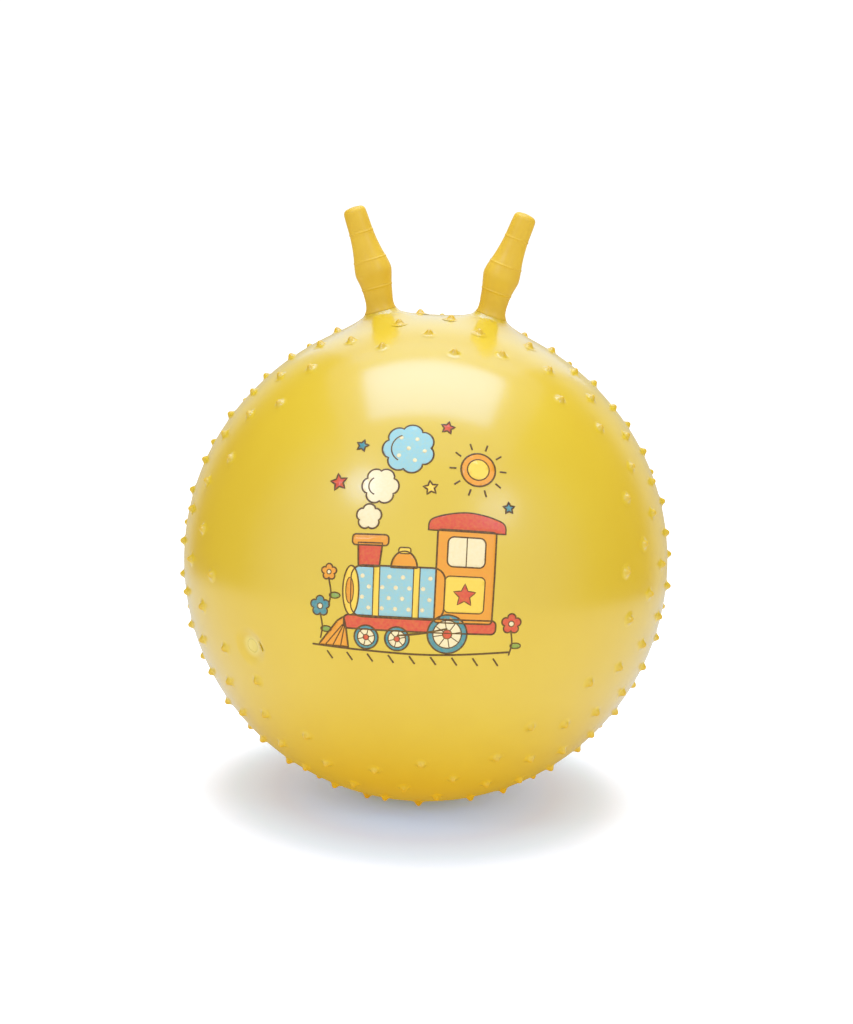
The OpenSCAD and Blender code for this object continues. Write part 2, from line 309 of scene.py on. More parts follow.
class Nodes:
    """A short way to wire the nodes of a material or of the world."""

    def __init__(self, owner: Material | bpy.types.World) -> None:
        """Start with the nodes that a new material or world has."""
        owner.use_nodes = True
        self.owner = owner
        self.tree = owner.node_tree
        self.place = self.node("ShaderNodeTexCoord").outputs["Object"]

    def put(self, target: Socket, value: object) -> None:
        """Link a value to an input if it is an output, or else set it there."""
        if isinstance(value, Socket):
            self.tree.links.new(value, target)
        else:
            target.default_value = value

    def node(self, kind: str, *inputs: object, **values: object) -> bpy.types.Node:
        """Add a node.

        Args:
            kind: The node's type.
            inputs: Its inputs in order, each a value or another node's output.
            values: Its properties by name, or inputs by name with spaces as underscores.

        Returns:
            The node.
        """
        node = self.tree.nodes.new(kind)
        for name, value in values.items():
            if hasattr(node, name):
                setattr(node, name, value)
            else:
                self.put(node.inputs[name.replace("_", " ")], value)
        for target, value in zip(node.inputs, inputs):
            self.put(target, value)
        return node

    def noise(self, scale: float, detail: float) -> Socket:
        """Return the value of a noise pattern on the piece's own coordinates."""
        return self.node("ShaderNodeTexNoise", self.place, Scale=scale, Detail=detail).outputs["Fac"]

    def mapped(self, value: Socket, *limits: float, **values: object) -> Socket:
        """Return a value mapped from two limits to two others, which are 0 and 1 unless given."""
        return self.node("ShaderNodeMapRange", value, *limits, **values).outputs["Result"]

    def clouds(self, noise: Point2, low: float = 0.0, high: float = 1.0) -> Socket:
        """Return a noise, given by scale and detail, stretched from its middle range to low and high."""
        return self.mapped(self.noise(*noise), *NOISE_MIDDLE, low, high)

    def vector(self, operation: str, *inputs: object, output: str = "Value") -> Socket:
        """Return an output of an operation on vectors."""
        return self.node("ShaderNodeVectorMath", *inputs, operation=operation).outputs[output]

    def blend(self, share: Socket, first: Colour | Socket, second: Colour) -> Socket:
        """Return a colour between two, by a share.

        Args:
            share: Where between the two the colour lies.
            first: The colour, or the output with the colour, at share 0.
            second: The colour at share 1.

        Returns:
            The blended colour's output.
        """
        node = self.node("ShaderNodeMix", share, data_type="RGBA")
        for target, colour in zip(node.inputs[6:8], (first, second)):
            self.put(target, colour)
        return node.outputs[2]

    def graded(self, value: Socket, tints: Tints, reach: float = 1.0, gain: float = 1.0) -> Socket:
        """Return the colour that a row of tints has at a value.

        Args:
            value: Where in the row, from 0 to 1.
            tints: The row, each a place and a colour.
            reach: The place that a value of 1 stands for.
            gain: What the colours are divided by, since a ramp holds none over 1.

        Returns:
            The colour's output.
        """
        node = self.node("ShaderNodeValToRGB", value)
        elements = node.color_ramp.elements
        for i in range(len(tints) - 2):
            elements.new((i + 1) / len(tints))
        for element, (spot, tint) in zip(list(elements), tints):
            element.position = spot / reach
            element.color = (*(level / gain for level in tint), 1)
        return node.outputs["Color"]

    def bumps(self, layers: Grain) -> Socket:
        """Return the normal under noises laid over one another, each a scale, a detail and a height."""
        nodes = [
            self.node("ShaderNodeBump", Strength=1.0, Distance=height, Height=self.noise(scale, detail))
            for scale, detail, height in layers
        ]
        for below, above in zip(nodes, nodes[1:]):
            self.put(above.inputs["Normal"], below.outputs["Normal"])
        return nodes[-1].outputs["Normal"]

    def mixed_shader(self, share: Socket, first: bpy.types.Node | Socket, second: bpy.types.Node) -> Socket:
        """Return a shader between two, by a share."""
        return self.node("ShaderNodeMixShader", share, first, second.outputs[0]).outputs["Shader"]


@dataclass(frozen=True)
class Finish:
    """A moulded finish: two colours in soft clouds, an uneven gloss and a fine grain.

    A noise is given by its scale and its detail, and a layer of the grain by its height too.
    """

    name: str = "finish"
    first: Colour = linear(228, 188, 40)
    second: Colour = linear(228, 188, 40)
    cloud_noise: Point2 = (7.0, 3.0)
    gloss_noise: Point2 = (700.0, 2.0)
    roughness: Point2 = (0.3, 0.38)
    grain: Grain = ((900.0, 2.0, 0.01 * MM),)
    numbers: Numbers = (("IOR", 1.5),)

    def colour(self, n: Nodes) -> Socket:
        """Return the colour over the piece."""
        return n.blend(n.clouds(self.cloud_noise), self.first, self.second)

    def inputs(self, n: Nodes) -> dict[str, object]:
        """Return what goes into the shader, by the name of its input."""
        gloss = n.clouds(self.gloss_noise, *self.roughness)
        return {"Base Color": self.colour(n), "Roughness": gloss, "Normal": n.bumps(self.grain)}

    def build(self) -> Material:
        """Return the finish as a material."""
        n = Nodes(bpy.data.materials.new(self.name))
        shader = n.tree.nodes["Principled BSDF"]
        for name, value in (self.inputs(n) | dict(self.numbers)).items():
            n.put(shader.inputs[name], value)
        return n.owner


@dataclass(frozen=True)
class PearlVinyl(Finish):
    """The ball's glossy vinyl, with a fine pearl in its lacquer and a pale patch at the valve, which is a
    painted highlight.
    """

    name: str = "pearl_vinyl"
    first: Colour = linear(225, 191, 26)
    second: Colour = linear(229, 198, 38)
    # Painted highlight: the vinyl round the valve's plug turns this pale colour.
    pale: Colour = linear(232, 212, 104)
    painted_highlight_reach: Point2 = (6 * MM, 12.5 * MM)
    gloss_noise: Point2 = (2600.0, 1.0)
    grain: Grain = ((22.0, 2.0, 0.35 * MM), (900.0, 2.0, 0.006 * MM))
    numbers: Numbers = (("IOR", 1.55), ("Coat Weight", 1.0), ("Coat Roughness", 0.17), ("Coat IOR", 1.7))

    def colour(self, n: Nodes) -> Socket:
        """Return the colour, which turns pale towards the valve: a painted highlight round the plug."""
        away = n.vector("DISTANCE", n.place, FORM.centre + FORM.valve * FORM.radius)
        share = n.mapped(away, *self.painted_highlight_reach, 1.0, 0.0, interpolation_type="SMOOTHSTEP")
        return n.blend(share, super().colour(n), self.pale)


@dataclass(frozen=True)
class NubVinyl(Finish):
    """The nubs' solid vinyl, deeper in colour and less glossy towards their tips."""

    name: str = "nub_vinyl"
    first: Colour = linear(228, 196, 34)
    second: Colour = linear(225, 184, 34)
    rise: Point2 = (1 * MM, 4.4 * MM)
    coat: Point2 = (1.0, 0.45)
    grain: Grain = ((900.0, 2.0, 0.008 * MM),)
    numbers: Numbers = (("IOR", 1.55), ("Coat Roughness", 0.22), ("Coat IOR", 1.62))

    def share(self, n: Nodes) -> Socket:
        """Return how near a point is to its nub's tip, from 0 to 1."""
        away = n.vector("DISTANCE", n.place, FORM.centre)
        return n.mapped(away, *(FORM.radius + rise for rise in self.rise))

    def colour(self, n: Nodes) -> Socket:
        """Return the colour, from the foot to the tip."""
        return n.blend(self.share(n), self.first, self.second)

    def inputs(self, n: Nodes) -> dict[str, object]:
        """Return what goes into the shader, with a coat that thins towards the tip."""
        return super().inputs(n) | {"Coat Weight": n.mapped(self.share(n), 0.0, 1.0, *self.coat)}


@dataclass(frozen=True)
class HornVinyl(Finish):
    """The horns' plain moulded vinyl, deeper in colour and less glossy than the ball."""

    name: str = "horn_vinyl"
    first: Colour = linear(221, 178, 26)
    second: Colour = linear(228, 188, 40)
    cloud_noise: Point2 = (38.0, 3.0)
    gloss_noise: Point2 = (160.0, 3.0)
    roughness: Point2 = (0.42, 0.52)
    grain: Grain = ((60.0, 2.0, 0.1 * MM), (1400.0, 3.0, 0.012 * MM))
    numbers: Numbers = (("IOR", 1.5), ("Coat Weight", 0.1), ("Coat Roughness", 0.3))


@dataclass(frozen=True)
class ValveRubber(Finish):
    """The soft rubber of the valve's seat and plug, paler than the ball: a painted highlight on the plug's
    domed head.
    """

    name: str = "valve_rubber"
    # Pale colours: a painted highlight on the plug's domed head.
    first: Colour = linear(228, 208, 106)
    second: Colour = linear(232, 214, 118)
    cloud_noise: Point2 = (120.0, 3.0)
    gloss_noise: Point2 = (700.0, 3.0)
    roughness: Point2 = (0.4, 0.55)
    grain: Grain = ((1800.0, 2.0, 0.02 * MM),)
    numbers: Numbers = (("IOR", 1.5), ("Sheen Weight", 0.1), ("Sheen Roughness", 0.5))


class Ink(Enum):
    """The printing inks, by their display colours."""

    OUTLINE = (88, 52, 22)
    RED = (222, 78, 58)
    ORANGE = (240, 158, 48)
    YELLOW = (252, 214, 82)
    CREAM = (247, 233, 188)
    BLUE = (150, 205, 214)
    TEAL = (62, 146, 158)
    GREEN = (140, 170, 72)


@dataclass(frozen=True)
class InkFinish(Finish):
    """A printing ink, thin enough to take the ball's gloss and grain."""

    cloud_noise: Point2 = (420.0, 4.0)
    gloss_noise: Point2 = (300.0, 3.0)
    roughness: Point2 = (0.3, 0.42)
    numbers: Numbers = (("IOR", 1.5), ("Coat Weight", 0.3), ("Coat Roughness", 0.18))
    thinning: float = 0.16

    @classmethod
    def of(cls, ink: Ink) -> "InkFinish":
        """Return the finish of an ink, in which some of the vinyl shows through in specks."""
        full = linear(*ink.value)
        thin = tuple(mixed(a, b, cls.thinning) for a, b in zip(full, PearlVinyl.second))
        return cls(f"ink_{ink.name.lower()}", full, thin)


@dataclass
class BallSkin:
    """The hollow skin: its round, the swollen necks below the horns, the dimple and the flat patch."""

    finish: Material
    thickness: float = 1.2 * MM
    steps: int = 240
    first_step: float = 0.8 * MM
    last_step: float = 5.4 * MM
    last_angle: float = math.radians(175)
    growth: float = 1.08
    groove: float = 0.18 * MM
    lip_reach: float = 0.05 * MM
    seam_merge: float = 0.02 * MM
    top_margin: float = 2 * MM
    fine_reach: float = 24 * MM
    fine_cuts: int = 4

    def arcs(self) -> list[float]:
        """Return the arcs, from a horn's axis, at which rings of faces go round the ball."""
        arc = FORM.neck_arc - self.top_margin
        step = self.first_step
        arcs = []
        while arc < FORM.radius * self.last_angle:
            arcs.append(arc)
            if arc > FORM.neck_arc + 3 * self.top_margin:
                step = min(step * self.growth, self.last_step)
            arc += step
        return arcs

    def half(self) -> Shell:
        """Return the +X half of the skin as rings about the horn on that side."""
        f = FORM
        rings = [(f.radius + max(f.swell(a), 0.0), a / f.radius) for a in self.arcs()]
        bm = spun([(r * math.sin(angle), r * math.cos(angle)) for r, angle in rings], self.steps)
        tilt = Matrix.Rotation(f.joint_tilt, 4, "Y")
        joint = Matrix.Translation((f.joint_shift, 0, f.joint_height)) @ tilt
        normal = joint.to_3x3() @ Vector((0, 0, 1))
        sliced(bm, joint @ Vector((0, 0, -self.groove)), normal)
        sliced(bm, joint.translation, normal, clear_outer=True)
        self.round_lip(bm, joint)
        moved(bm, aimed(f.horn(1), f.centre))
        sliced(bm, Vector(), Vector((1, 0, 0)), clear_inner=True)
        return bm

    def round_lip(self, bm: Shell, joint: Matrix) -> None:
        """Draw the edge at the joint in a little, so that the joint shows as a fine line."""
        back = joint.inverted()
        for vert in (v for v in bm.verts if v.is_boundary):
            local = back @ vert.co
            if abs(local.z) < self.lip_reach:
                across = local.xy.length
                vert.co = joint @ Vector((local.x, local.y, 0)).lerp(Vector(), self.groove / across)

    def refine_dimple(self, bm: Shell) -> None:
        """Divide the faces round the valve finely enough to hold its dimple."""
        near = [
            face
            for face in bm.faces
            if FORM.arc((face.calc_center_median() - FORM.centre).normalized(), FORM.valve) < self.fine_reach
        ]
        edges = list({edge for face in near for edge in face.edges})
        bmesh.ops.subdivide_edges(bm, edges=edges, cuts=self.fine_cuts, use_grid_fill=True)

    def settle(self, bm: Shell) -> None:
        """Move each point of the round onto the ball's true surface, and leave the joints as they are."""
        foot = FORM.neck_arc + 2 * self.top_margin
        for vert in bm.verts:
            direction = (vert.co - FORM.centre).normalized()
            if FORM.horn_arc(direction) > foot:
                vert.co = FORM.point(direction)

    def bore(self, bm: Shell) -> None:
        """Open the round hole that the plug goes through."""
        out = aimed(FORM.valve, FORM.centre)
        back = out.inverted()

        def near(point: Vector, radius: float) -> bool:
            """Say whether a point lies within a radius of the valve's axis, on the valve's side."""
            local = back @ point
            return local.z > 0 and local.xy.length < radius

        inside = [face for face in bm.faces if near(face.calc_center_median(), FORM.bore_radius)]
        bmesh.ops.delete(bm, geom=inside, context="FACES")
        for vert in bm.verts:
            if vert.is_boundary and near(vert.co, FORM.floor_radius):
                rim = (back @ vert.co).xy.normalized() * FORM.bore_radius
                vert.co = out @ Vector((rim.x, rim.y, FORM.floor_height))

    def flatten(self, bm: Shell) -> None:
        """Cut an edge loop at floor level and press what lies below it flat."""
        sliced(bm, Vector(), Vector((0, 0, 1)))
        for vert in bm.verts:
            vert.co.z = max(vert.co.z, 0.0)

    def build(self) -> list[Piece]:
        """Return the skin as one piece."""
        bm = self.half()
        geometry = bm.verts[:] + bm.edges[:] + bm.faces[:]
        bmesh.ops.mirror(
            bm, geom=geometry, matrix=Matrix.Identity(4), merge_dist=self.seam_merge, axis="X"
        )
        self.refine_dimple(bm)
        self.settle(bm)
        self.bore(bm)
        self.flatten(bm)
        piece = walled(added("skin", bm, self.finish), self.thickness)
        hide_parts("ball_skin")
        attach(piece, BALL_BODY)
        return [piece]


@dataclass
class Nubs:
    """The soft nubs, laid along a spiral round the axis of the smooth front."""

    finish: Material
    height: float = 4.4 * MM
    foot_radius: float = 4.7 * MM
    pitch: float = 45 * MM
    smooth_angle: float = math.radians(52)
    front_tilt: float = math.radians(12)
    phase: float = math.radians(40)
    horn_gap: float = 18 * MM
    valve_gap: float = 9 * MM
    floor_gap: float = 2 * MM
    steps: int = 14
    side_shares: Curve = (
        (1.75, -0.05), (1.4, 0.0), (1.1, 0.06), (0.86, 0.2),
        (0.62, 0.52), (0.4, 0.83), (0.2, 0.97), (0.0, 1.0),
    )

    @property
    def total(self) -> int:
        """Return how many nubs a whole ball would have."""
        return round(4 * math.pi * FORM.radius**2 / (self.pitch**2 * math.sqrt(3) / 2))

    def direction(self, i: int) -> Vector:
        """Return the direction of a nub of the spiral."""
        back = 1 - (2 * i + 1) / self.total
        out = math.sqrt(1 - back * back)
        turn = i * math.pi * (3 - math.sqrt(5)) + self.phase
        level = Vector((out * math.cos(turn), -back, out * math.sin(turn)))
        return Matrix.Rotation(-self.front_tilt, 3, "X") @ level

    def fits(self, i: int, direction: Vector) -> bool:
        """Say whether a nub lies clear of the smooth front, the horns, the valve and the floor."""
        f = FORM
        return (
            1 - (2 * i + 1) / self.total < math.cos(self.smooth_angle)
            and f.horn_arc(direction) > f.neck_radius + self.horn_gap
            and f.arc(direction, f.valve) > f.dimple_radius + self.foot_radius + self.valve_gap
            and f.centre.z + (f.radius + self.height) * direction.z > self.floor_gap
        )

    def build(self) -> list[Piece]:
        """Return all nubs as one piece."""
        one = spun([(r * self.foot_radius, h * self.height) for r, h in self.side_shares], self.steps)
        bmesh.ops.recalc_face_normals(one, faces=one.faces[:])
        pattern = bpy.data.meshes.new("nub_pattern")
        one.to_mesh(pattern)
        one.free()
        bm = bmesh.new()
        directions = [self.direction(i) for i in range(self.total)]
        for direction in (d for i, d in enumerate(directions) if self.fits(i, d)):
            before = len(bm.verts)
            bm.from_mesh(pattern)
            bm.verts.ensure_lookup_table()
            place = aimed(direction, FORM.point(direction))
            bmesh.ops.transform(bm, matrix=place, verts=bm.verts[before:])
        bpy.data.meshes.remove(pattern)
        piece = added("nubs", bm, self.finish, outward=False)
        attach(piece, BALL_BODY)
        return [piece]


@dataclass
class Horn:
    """A hollow horn: a slim root, a bulge for the hand, three raised rings and a rounded end."""

    finish: Material
    side: int
    length: float = 97.5 * MM
    grip_radius: float = 16.9 * MM
    wall: float = 2.6 * MM
    bend: float = math.radians(7.5)
    bend_start: float = 21 * MM
    bend_length: float = 23 * MM
    end_tilt: float = math.radians(8.5)
    tip_round: float = 5 * MM
    tip_dome: float = 0.6 * MM
    ring_first: float = 22 * MM
    ring_pitch: float = 26 * MM
    ring_height: float = 0.5 * MM
    ring_half_width: float = 0.75 * MM
    ring_count: int = 3
    groove: float = 0.18 * MM
    steps: int = 72
    station: float = 1.6 * MM
    ring_station: float = 0.3 * MM
    ring_reach: int = 6
    tip_steps: int = 8
    dome_shares: tuple[float, ...] = (0.75, 0.4, 0.0)
    side_shares: Curve = (
        (0, 0.885), (0.02, 0.825), (0.05, 0.775), (0.1, 0.761), (0.155, 0.785), (0.21, 0.815),
        (0.26, 0.866), (0.32, 0.946), (0.37, 1), (0.43, 0.967), (0.495, 0.888), (0.555, 0.809),
        (0.62, 0.742), (0.68, 0.698), (0.75, 0.66), (0.82, 0.645), (0.9, 0.633), (1, 0.598),
    )

    def body_radius(self, s: float) -> float:
        """Return the horn's radius at a length from its joint, without its rings."""
        return self.grip_radius * curve_value(self.side_shares, s / self.length)

    def rings(self) -> list[float]:
        """Return the lengths from the joint at which the raised rings lie."""
        return [self.ring_first + i * self.ring_pitch for i in range(self.ring_count)]

    def ring_rise(self, s: float) -> float:
        """Return how far the raised rings stand at a length from the joint."""
        widths = ((s - ring) / self.ring_half_width for ring in self.rings())
        return self.ring_height * sum(math.exp(-(width**2)) for width in widths)

    def profile(self) -> Outline:
        """Return the straight horn's outline from its joint to the middle of its end."""
        start = self.length - self.tip_round
        count = round(start / self.station)
        even = [self.groove + (start - self.groove) * i / count for i in range(1, 1 + count)]
        reach = self.ring_reach
        near = [ring + k * self.ring_station for ring in self.rings() for k in range(-reach, reach + 1)]
        clear = (reach + 1) * self.ring_station
        far = [s for s in even if min(abs(s - ring) for ring in self.rings()) > clear]
        points = [(self.body_radius(0) - self.groove, 0.0), (self.body_radius(self.groove), self.groove)]
        points += [(self.body_radius(s) + self.ring_rise(s), s) for s in sorted(near + far)]
        full = self.body_radius(start)
        flat = full - self.tip_round
        for i in range(1, self.tip_steps + 1):
            turn = math.pi / 2 * i / self.tip_steps
            out = full - self.tip_round * (1 - math.cos(turn))
            points.append((out, start + self.tip_round * math.sin(turn)))
        dome = [(flat * share, self.tip_dome * (1 - share * share)) for share in self.dome_shares]
        return points + [(r, self.length + rise) for r, rise in dome]

    def bent(self, point: Vector) -> Vector:
        """Return where a point of the straight horn lies once it is bent and its sections tilt."""
        s = point.z
        radius = self.bend_length / self.bend
        angle = min(max(s - self.bend_start, 0.0), self.bend_length) / radius
        before = min(s, self.bend_start)
        after = max(s - self.bend_start - self.bend_length, 0.0)
        shift = FORM.joint_shift * max(1 - s / FORM.joint_shift_length, 0.0) ** 2
        x = shift + radius * (1 - math.cos(angle)) + after * math.sin(angle)
        z = before + radius * math.sin(angle) + after * math.cos(angle)
        tilt = mixed(FORM.joint_tilt, self.end_tilt, s / self.length)
        return Vector((x + point.x * math.cos(tilt), point.y, z - point.x * math.sin(tilt)))

    def build(self) -> list[Piece]:
        """Return the horn as one piece."""
        bm = spun(self.profile(), self.steps)
        for vert in bm.verts:
            vert.co = self.bent(vert.co)
        root = FORM.centre + FORM.horn(1) * FORM.joint_height
        moved(bm, aimed(FORM.horn(1), root))
        if self.side < 0:
            moved(bm, Matrix.Diagonal((-1, 1, 1, 1)))
        name = "right_grip" if self.side > 0 else "left_grip"
        piece = walled(added(name, bm, self.finish), self.wall)
        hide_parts("right_horn" if self.side > 0 else "left_horn")
        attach(piece, BALL_BODY)
        return [piece]


@dataclass
class Valve:
    """The plug, the soft collar round its head and the seat behind it."""

    finish: Material
    skin_finish: Material
    head_radius: float = 6 * MM
    head_thickness: float = 1.2 * MM
    head_gap: float = 0.05 * MM
    head_shares: Curve = (
        (0.0, 1.0), (0.4, 0.99), (0.62, 0.97), (0.8, 0.94), (0.93, 0.9),
        (0.975, 0.86), (0.995, 0.76), (1.0, 0.6), (1.0, 0.2), (0.97, 0.0),
    )
    stem_radius: float = 3.9 * MM
    stem_length: float = 20 * MM
    rib_radius: float = 4.42 * MM
    rib_from: float = 3.5 * MM
    rib_length: float = 2.2 * MM
    rib_count: int = 3
    rib_shares: Curve = ((0, 0), (0.15, 0.75), (0.3, 1), (0.5, 1), (1, 0))
    taper: float = 0.9 * MM
    fillet: float = 0.3 * MM
    end_rise: float = 0.8 * MM
    notch_corner: float = 0.49
    core_radius: float = 1.7 * MM
    core_depth: float = 15 * MM
    collar_gap: float = 0.08 * MM
    collar_sink: float = 0.3 * MM
    collar_rings: int = 12
    collar_tuck: Curve = ((1.5 * MM, 0.1 * MM), (3 * MM, 0.45 * MM), (3.2 * MM, 0.9 * MM))
    notch_length: float = 9 * MM
    notch_width: float = 4.2 * MM
    notch_depth: float = 1.5 * MM
    notch_rise: float = 0.9 * MM
    notch_place: Point2 = (-2.5 * MM, 13 * MM)
    notch_turn: float = math.radians(28)
    steps: int = 64

    def head(self) -> Outline:
        """Return the outline of the head, from the middle of its dished top to the stem."""
        side = [(r * self.head_radius, t * self.head_thickness) for r, t in self.head_shares]
        return side + [(self.stem_radius + self.fillet, 0.0), (self.stem_radius, -self.fillet)]

    def stem(self) -> Outline:
        """Return the outline of the ribbed stem, down to its end and up into its hollow."""
        pitch = (self.stem_length - self.rib_from - self.rib_length) / self.rib_count
        tops = [-self.rib_from - i * pitch for i in range(self.rib_count)]
        points = [
            (mixed(self.stem_radius, self.rib_radius, out), top - down * self.rib_length)
            for top in tops
            for down, out in self.rib_shares
        ]
        foot, end, core = -self.stem_length, self.stem_radius - self.taper, self.core_radius
        points += [(end + self.fillet, foot + self.end_rise), (end, foot)]
        points += [(core + self.fillet, foot), (core, foot + self.fillet)]
        return points + [(core, foot + self.core_depth), (0.0, foot + self.core_depth)]

    def collar(self) -> Shell:
        """Return the soft collar that leads from the ball's round down to the edge of the head."""
        f = FORM

        def skin(r: float) -> float:
            """Return the height of the ball's round at a distance from the valve's axis."""
            return math.sqrt(f.radius**2 - r**2)

        outer = f.dimple_radius + f.dimple_ease
        inner = self.head_radius + self.collar_gap
        top = f.floor_height + self.head_gap + self.head_thickness
        low = (inner, f.floor_height - self.collar_sink)
        depth = skin(inner) - top + 0.5 * self.collar_gap
        points = [low, (inner, top - 2 * self.collar_gap)]
        for i in range(self.collar_rings + 1):
            r = mixed(inner + self.collar_gap, outer, i / self.collar_rings)
            share = smooth_share((r - inner) / (outer - inner))
            points.append((r, skin(r) - depth * (1 - share)))
        points += [(outer + out, skin(outer + out) - below) for out, below in self.collar_tuck]
        bm = spun([*points, low], self.steps)
        bmesh.ops.recalc_face_normals(bm, faces=bm.faces[:])
        return moved(bm, aimed(f.valve, f.centre))

    def notch(self) -> Shell:
        """Return the block that cuts the fingernail notch into the collar, beside the head."""
        bm = bmesh.new()
        size = Matrix.Diagonal((self.notch_length, self.notch_width, 2 * self.notch_depth, 1))
        bmesh.ops.create_cube(bm, size=1, matrix=size)
        upright = [e for e in bm.edges if abs(e.verts[0].co.z - e.verts[1].co.z) > self.notch_depth]
        offset = self.notch_corner * self.notch_width
        bmesh.ops.bevel(
            bm, geom=upright, offset=offset, affect="EDGES", segments=5, profile=0.5, material=-1
        )
        beside = (*self.notch_place, FORM.floor_height + self.head_thickness + self.notch_rise)
        turn = Matrix.Rotation(self.notch_turn, 4, "Z")
        return moved(bm, aimed(FORM.valve, FORM.centre) @ Matrix.Translation(beside) @ turn)

    def build(self) -> list[Piece]:
        """Return the plug and its collar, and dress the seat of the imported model."""
        place = FORM.centre + FORM.valve * (FORM.floor_height + self.head_gap)
        bm = moved(spun(self.head() + self.stem(), self.steps), aimed(FORM.valve, place))
        plug = added("plug", bm, self.finish)
        collar = added("valve_collar", self.collar(), self.skin_finish)
        cut_by(collar, added("notch", self.notch(), self.skin_finish))
        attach(collar, BALL_BODY)
        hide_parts("valve_plug")
        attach(plug, PLUG_BODY)
        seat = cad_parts["valve_seat"]
        for slot in seat.material_slots:
            slot.material = self.finish
        return [plug, collar, seat]


# The picture is drawn in millimetres, to the right and upwards from its middle.
ARC_STEP = 2.5
MIN_ARC_POINTS = 10
LOBE_POINTS = 10
LOBE_POWER = 0.7
STAR_WAIST = 0.48
CORNER_POINTS = 6
CURVE_POINTS = 10


def around(u: float, v: float, radius: float, turn: float) -> Point2:
    """Return the point at a radius and an angle, in radians, round a middle."""
    return u + radius * math.cos(turn), v + radius * math.sin(turn)


def ellipse(u: float, v: float, a: float, b: float, start: float = 0.0, end: float = 360.0) -> Outline:
    """Return points round an ellipse or along part of it.

    Args:
        u: Middle, to the right.
        v: Middle, upwards.
        a: Half its width.
        b: Half its height.
        start: First angle, in degrees.
        end: Last angle. A whole turn leaves the last point out.

    Returns:
        The points, about an arc step apart.
    """
    count = max(MIN_ARC_POINTS, round(math.radians(abs(end - start)) * max(a, b) / ARC_STEP))
    last = count if abs(end - start) < 360 else count - 1
    turns = [math.radians(mixed(start, end, i / count)) for i in range(last + 1)]
    return [(u + a * math.cos(t), v + b * math.sin(t)) for t in turns]


def disc(u: float, v: float, radius: float) -> Outline:
    """Return points round a circle."""
    return ellipse(u, v, radius, radius)


def lobed(u: float, v: float, radius: float, lobes: int, depth: float, turn: float = 90.0) -> Outline:
    """Return a scalloped ring of points, for a puff of smoke or a flower.

    Args:
        u: Middle, to the right.
        v: Middle, upwards.
        radius: Distance from the middle to the tops of the lobes.
        lobes: How many there are.
        depth: How far in the notches go, as a share of the radius.
        turn: Angle of the first lobe, in degrees.

    Returns:
        The points.
    """
    angles = [math.tau * i / (lobes * LOBE_POINTS) for i in range(lobes * LOBE_POINTS)]
    radii = [radius * (1 - depth * (1 - abs(math.cos(lobes * angle / 2)) ** LOBE_POWER)) for angle in angles]
    return [around(u, v, r, angle + math.radians(turn)) for r, angle in zip(radii, angles)]


def star(u: float, v: float, radius: float, turn: float = 90.0) -> Outline:
    """Return the ten corners of a five-pointed star."""
    radii = [radius, radius * STAR_WAIST] * 5
    return [around(u, v, r, math.radians(turn + 36 * i)) for i, r in enumerate(radii)]


def rounded(left: float, right: float, low: float, high: float, corner: float) -> Outline:
    """Return a rectangle with round corners.

    Args:
        left: Left edge.
        right: Right edge.
        low: Lower edge.
        high: Upper edge.
        corner: Radius of the corners.

    Returns:
        The points, from the upper right corner round by the left.
    """
    middles = [(right - corner, high - corner), (left + corner, high - corner)]
    middles += [(left + corner, low + corner), (right - corner, low + corner)]
    turns = [90 / (CORNER_POINTS - 1) * i for i in range(CORNER_POINTS)]
    return [
        around(u, v, corner, math.radians(90 * side + turn))
        for side, (u, v) in enumerate(middles)
        for turn in turns
    ]


def curve_through(*points: Point2) -> Outline:
    """Return a smooth line through a few points, divided evenly between them."""
    ends = [points[0], *points, points[-1]]
    line = []
    for k in range(1, len(ends) - 2):
        p0, p1, p2, p3 = (Vector(p) for p in ends[k - 1 : k + 3])
        for i in range(CURVE_POINTS):
            t = i / CURVE_POINTS
            spot = 2 * p1 + (p2 - p0) * t + (2 * p0 - 5 * p1 + 4 * p2 - p3) * t**2
            spot = (spot + (3 * p1 - p0 - 3 * p2 + p3) * t**3) / 2
            line.append((spot.x, spot.y))
    return [*line, points[-1]]


